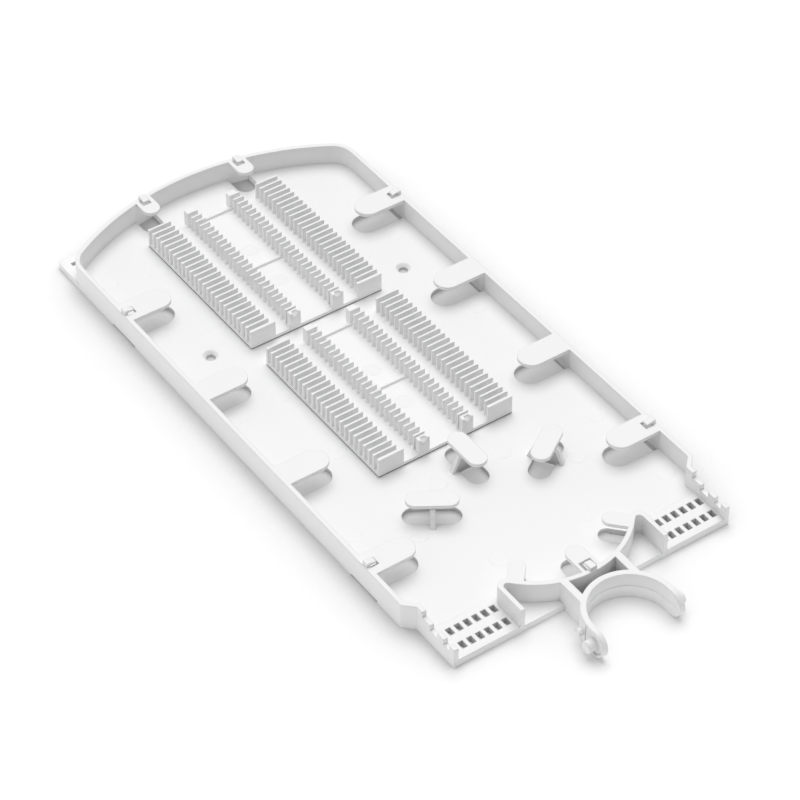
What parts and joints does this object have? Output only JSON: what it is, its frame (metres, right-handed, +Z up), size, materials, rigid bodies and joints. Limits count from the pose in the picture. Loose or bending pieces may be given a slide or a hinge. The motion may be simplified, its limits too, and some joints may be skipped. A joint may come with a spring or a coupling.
{
  "type": "fibre splice tray",
  "caption": "Flat hinged tray for optical fibre splices, with comb-like splice holders, storage spools, holding tabs, cable entries with tie holes and an open hinge ring.",
  "frame": {"origin": "under the middle of the tray's outer box, on the plane it lies on", "axes": "+X to the right across the tray as seen from the hinge, +Y from the hinge to the arched end, +Z up out of the floor"},
  "size_m": [0.128, 0.2942, 0.0128],
  "materials": {
    "tray": "matte moulded",
    "holder": "satin moulded"
  },
  "bodies": {
    "root": {"splice_tray": "tray", "splice_holder_front": "holder", "splice_holder_rear": "holder"}
  },
  "joints": []
}
